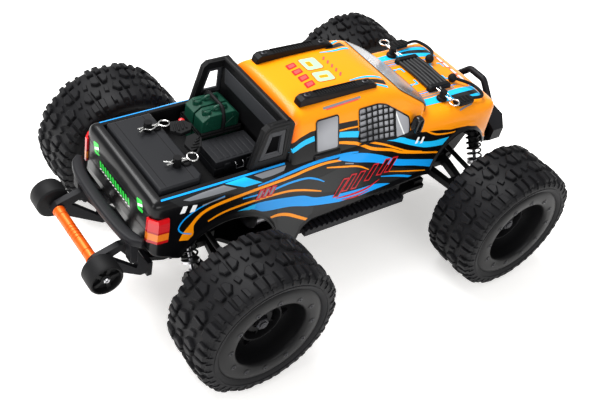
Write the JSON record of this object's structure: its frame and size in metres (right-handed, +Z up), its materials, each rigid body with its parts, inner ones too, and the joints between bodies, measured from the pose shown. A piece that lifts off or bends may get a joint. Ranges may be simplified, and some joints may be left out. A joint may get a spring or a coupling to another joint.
{
  "type": "rc monster truck",
  "caption": "Toy monster truck with a painted pickup shell, big treaded tyres on dished rims, sprung wishbone suspension, steering, bumpers, wheelie bar and a loaded bed.",
  "frame": {"origin": "on the ground under the middle of the truck, at the centre of its length and width", "axes": "+X to the front, +Y to the left, +Z up"},
  "size_m": [0.326, 0.212, 0.1364],
  "materials": {
    "body_paint": "gloss",
    "black_plastic": "moulded",
    "tyre_rubber": "matt",
    "rim_plastic": "satin",
    "nylon": "satin",
    "steel": "satin",
    "orange_aluminium": "anodised",
    "window_film": "gloss",
    "lamp_plastic": "gloss",
    "rubber": "matt",
    "can_plastic": "satin",
    "clip_wire": "bright",
    "rope": "satin",
    "motor_can": "satin",
    "battery_wrap": "gloss",
    "case_plastic": "moulded",
    "shock_plastic": "satin"
  },
  "bodies": {
    "root": {"chassis_tub": "black_plastic", "gearbox_housings": "black_plastic", "shock_towers": "black_plastic", "drive_motor": "motor_can", "battery_pack": "battery_wrap", "control_box": "black_plastic", "steering_servo": "black_plastic", "shock_springs": "steel", "front_bumper": "black_plastic", "rear_bumper": "black_plastic", "wheelie_arms": "black_plastic", "wheelie_tube": "orange_aluminium", "side_steps": "black_plastic", "body_posts": "black_plastic", "body_shell": "body_paint", "window_panels": "window_film", "roof_rails": "black_plastic", "roll_bar": "black_plastic", "lamp_lenses": "lamp_plastic", "door_mirrors": "black_plastic", "cargo_box": "case_plastic", "jerry_cans": "can_plastic", "tool_case": "case_plastic", "body_clips": "clip_wire", "clip_leashes": "rubber", "hood_rope": "rope"},
    "arm_fl": {"lower_arm_fl": "nylon"},
    "caster_fl": {"caster_block_fl": "nylon"},
    "knuckle_fl": {"steering_knuckle_fl": "nylon"},
    "wheel_fl": {"tyre_fl": "tyre_rubber", "wheel_rim_fl": "rim_plastic"},
    "link_fl": {"upper_link_fl": "nylon"},
    "damper_fl": {"shock_body_fl": "shock_plastic"},
    "damper_rod_fl": {"shock_rod_fl": "steel"},
    "arm_fr": {"lower_arm_fr": "nylon"},
    "caster_fr": {"caster_block_fr": "nylon"},
    "knuckle_fr": {"steering_knuckle_fr": "nylon"},
    "wheel_fr": {"tyre_fr": "tyre_rubber", "wheel_rim_fr": "rim_plastic"},
    "link_fr": {"upper_link_fr": "nylon"},
    "damper_fr": {"shock_body_fr": "shock_plastic"},
    "damper_rod_fr": {"shock_rod_fr": "steel"},
    "arm_rl": {"lower_arm_rl": "nylon"},
    "hub_rl": {"rear_hub_carrier_rl": "nylon"},
    "wheel_rl": {"tyre_rl": "tyre_rubber", "wheel_rim_rl": "rim_plastic"},
    "link_rl": {"upper_link_rl": "nylon"},
    "damper_rl": {"shock_body_rl": "shock_plastic"},
    "damper_rod_rl": {"shock_rod_rl": "steel"},
    "arm_rr": {"lower_arm_rr": "nylon"},
    "hub_rr": {"rear_hub_carrier_rr": "nylon"},
    "wheel_rr": {"tyre_rr": "tyre_rubber", "wheel_rim_rr": "rim_plastic"},
    "link_rr": {"upper_link_rr": "nylon"},
    "damper_rr": {"shock_body_rr": "shock_plastic"},
    "damper_rod_rr": {"shock_rod_rr": "steel"},
    "servo_horn": {"servo_horn": "nylon"},
    "drag_link": {"steering_link": "nylon"},
    "wheelie_pair": {"wheelie_wheels": "rubber"},
    "drive_line": {"drive_shaft": "steel"}
  },
  "joints": [
    {"name": "suspension_fl", "type": "hinge", "parent": "root", "child": "arm_fl", "pos_m": [0.1105, 0.016, 0.042], "axis": [1, 0, 0], "range_deg": [-10, 15], "stiffness_Nm_per_rad": 1, "springref_deg": -6.3, "deforming": ["shock_springs"]},
    {"name": "upright_fl", "type": "hinge", "parent": "arm_fl", "child": "caster_fl", "pos_m": [0.1105, 0.062, 0.04], "axis": [1, 0, 0], "range_deg": [-15.5, 10.5]},
    {"name": "steer_fl", "type": "hinge", "parent": "caster_fl", "child": "knuckle_fl", "pos_m": [0.1105, 0.069, 0.046], "axis": [0, 0, 1], "range_deg": [-25.5, 25.5]},
    {"name": "wheel_spin_fl", "type": "hinge", "parent": "knuckle_fl", "child": "wheel_fl", "pos_m": [0.1105, 0.0855, 0.046], "axis": [0, 1, 0], "continuous": true},
    {"name": "upper_link_fl", "type": "hinge", "parent": "root", "child": "link_fl", "pos_m": [0.1105, 0.016, 0.062], "axis": [1, 0, 0], "range_deg": [-10.8, 16.2]},
    {"name": "damper_tilt_fl", "type": "hinge", "parent": "root", "child": "damper_fl", "pos_m": [0.1265, 0.026, 0.082], "axis": [1, 0, 0], "range_deg": [-3.2, 4.6]},
    {"name": "damper_slide_fl", "type": "slide", "parent": "damper_fl", "child": "damper_rod_fl", "axis": [0, 0.4908, -0.8712], "range_m": [-0.0078, 0.0052]},
    {"name": "suspension_fr", "type": "hinge", "parent": "root", "child": "arm_fr", "pos_m": [0.1105, -0.016, 0.042], "axis": [-1, 0, 0], "range_deg": [-10, 15], "stiffness_Nm_per_rad": 1, "springref_deg": -6.3},
    {"name": "upright_fr", "type": "hinge", "parent": "arm_fr", "child": "caster_fr", "pos_m": [0.1105, -0.062, 0.04], "axis": [-1, 0, 0], "range_deg": [-15.5, 10.5]},
    {"name": "steer_fr", "type": "hinge", "parent": "caster_fr", "child": "knuckle_fr", "pos_m": [0.1105, -0.069, 0.046], "axis": [0, 0, 1], "range_deg": [-25, 25]},
    {"name": "wheel_spin_fr", "type": "hinge", "parent": "knuckle_fr", "child": "wheel_fr", "pos_m": [0.1105, -0.0855, 0.046], "axis": [0, 1, 0], "continuous": true},
    {"name": "upper_link_fr", "type": "hinge", "parent": "root", "child": "link_fr", "pos_m": [0.1105, -0.016, 0.062], "axis": [-1, 0, 0], "range_deg": [-10.8, 16.2]},
    {"name": "damper_tilt_fr", "type": "hinge", "parent": "root", "child": "damper_fr", "pos_m": [0.1265, -0.026, 0.082], "axis": [-1, 0, 0], "range_deg": [-3.2, 4.6]},
    {"name": "damper_slide_fr", "type": "slide", "parent": "damper_fr", "child": "damper_rod_fr", "axis": [0, -0.4908, -0.8712], "range_m": [-0.0078, 0.0052]},
    {"name": "suspension_rl", "type": "hinge", "parent": "root", "child": "arm_rl", "pos_m": [-0.0855, 0.016, 0.042], "axis": [1, 0, 0], "range_deg": [-10, 15], "stiffness_Nm_per_rad": 1, "springref_deg": -6.3},
    {"name": "upright_rl", "type": "hinge", "parent": "arm_rl", "child": "hub_rl", "pos_m": [-0.0855, 0.062, 0.04], "axis": [1, 0, 0], "range_deg": [-15.5, 10.5]},
    {"name": "wheel_spin_rl", "type": "hinge", "parent": "hub_rl", "child": "wheel_rl", "pos_m": [-0.0855, 0.0855, 0.046], "axis": [0, 1, 0], "continuous": true},
    {"name": "upper_link_rl", "type": "hinge", "parent": "root", "child": "link_rl", "pos_m": [-0.0855, 0.016, 0.062], "axis": [1, 0, 0], "range_deg": [-10.8, 16.2]},
    {"name": "damper_tilt_rl", "type": "hinge", "parent": "root", "child": "damper_rl", "pos_m": [-0.1015, 0.026, 0.082], "axis": [1, 0, 0], "range_deg": [-3.2, 4.6]},
    {"name": "damper_slide_rl", "type": "slide", "parent": "damper_rl", "child": "damper_rod_rl", "axis": [0, 0.4908, -0.8712], "range_m": [-0.0078, 0.0052]},
    {"name": "suspension_rr", "type": "hinge", "parent": "root", "child": "arm_rr", "pos_m": [-0.0855, -0.016, 0.042], "axis": [-1, 0, 0], "range_deg": [-10, 15], "stiffness_Nm_per_rad": 1, "springref_deg": -6.3},
    {"name": "upright_rr", "type": "hinge", "parent": "arm_rr", "child": "hub_rr", "pos_m": [-0.0855, -0.062, 0.04], "axis": [-1, 0, 0], "range_deg": [-15.5, 10.5]},
    {"name": "wheel_spin_rr", "type": "hinge", "parent": "hub_rr", "child": "wheel_rr", "pos_m": [-0.0855, -0.0855, 0.046], "axis": [0, 1, 0], "continuous": true},
    {"name": "upper_link_rr", "type": "hinge", "parent": "root", "child": "link_rr", "pos_m": [-0.0855, -0.016, 0.062], "axis": [-1, 0, 0], "range_deg": [-10.8, 16.2]},
    {"name": "damper_tilt_rr", "type": "hinge", "parent": "root", "child": "damper_rr", "pos_m": [-0.1015, -0.026, 0.082], "axis": [-1, 0, 0], "range_deg": [-3.2, 4.6]},
    {"name": "damper_slide_rr", "type": "slide", "parent": "damper_rr", "child": "damper_rod_rr", "axis": [0, -0.4908, -0.8712], "range_m": [-0.0078, 0.0052]},
    {"name": "servo_turn", "type": "hinge", "parent": "root", "child": "servo_horn", "pos_m": [0.066, 0.013, 0.06], "axis": [0, 0, 1], "range_deg": [-25.5, 25.5]},
    {"name": "drag_link_slide", "type": "slide", "parent": "root", "child": "drag_link", "axis": [0, 1, 0], "range_m": [-0.0054, 0.0054]},
    {"name": "wheelie_spin", "type": "hinge", "parent": "root", "child": "wheelie_pair", "pos_m": [-0.1528, 0, 0.0577], "axis": [0, 1, 0], "continuous": true},
    {"name": "drive_shaft_spin", "type": "hinge", "parent": "root", "child": "drive_line", "pos_m": [0.0125, 0, 0.045], "axis": [1, 0, 0], "continuous": true}
  ],
  "couplings": [
    {"joint": "upright_fl", "follows": "suspension_fl", "ratio": -1},
    {"joint": "steer_fl", "follows": "steer_fr", "ratio": 1},
    {"joint": "upper_link_fl", "follows": "suspension_fl", "ratio": 1.0439},
    {"joint": "damper_tilt_fl", "follows": "suspension_fl", "ratio": 0.2461},
    {"joint": "damper_slide_fl", "follows": "suspension_fl", "m_per_rad": -0.028753},
    {"joint": "upright_fr", "follows": "suspension_fr", "ratio": -1},
    {"joint": "upper_link_fr", "follows": "suspension_fr", "ratio": 1.0439},
    {"joint": "damper_tilt_fr", "follows": "suspension_fr", "ratio": 0.2461},
    {"joint": "damper_slide_fr", "follows": "suspension_fr", "m_per_rad": -0.028753},
    {"joint": "upright_rl", "follows": "suspension_rl", "ratio": -1},
    {"joint": "upper_link_rl", "follows": "suspension_rl", "ratio": 1.0439},
    {"joint": "damper_tilt_rl", "follows": "suspension_rl", "ratio": 0.2461},
    {"joint": "damper_slide_rl", "follows": "suspension_rl", "m_per_rad": -0.028753},
    {"joint": "upright_rr", "follows": "suspension_rr", "ratio": -1},
    {"joint": "upper_link_rr", "follows": "suspension_rr", "ratio": 1.0439},
    {"joint": "damper_tilt_rr", "follows": "suspension_rr", "ratio": 0.2461},
    {"joint": "damper_slide_rr", "follows": "suspension_rr", "m_per_rad": -0.028753},
    {"joint": "servo_turn", "follows": "steer_fr", "ratio": -1},
    {"joint": "drag_link_slide", "follows": "steer_fr", "m_per_rad": -0.012}
  ]
}
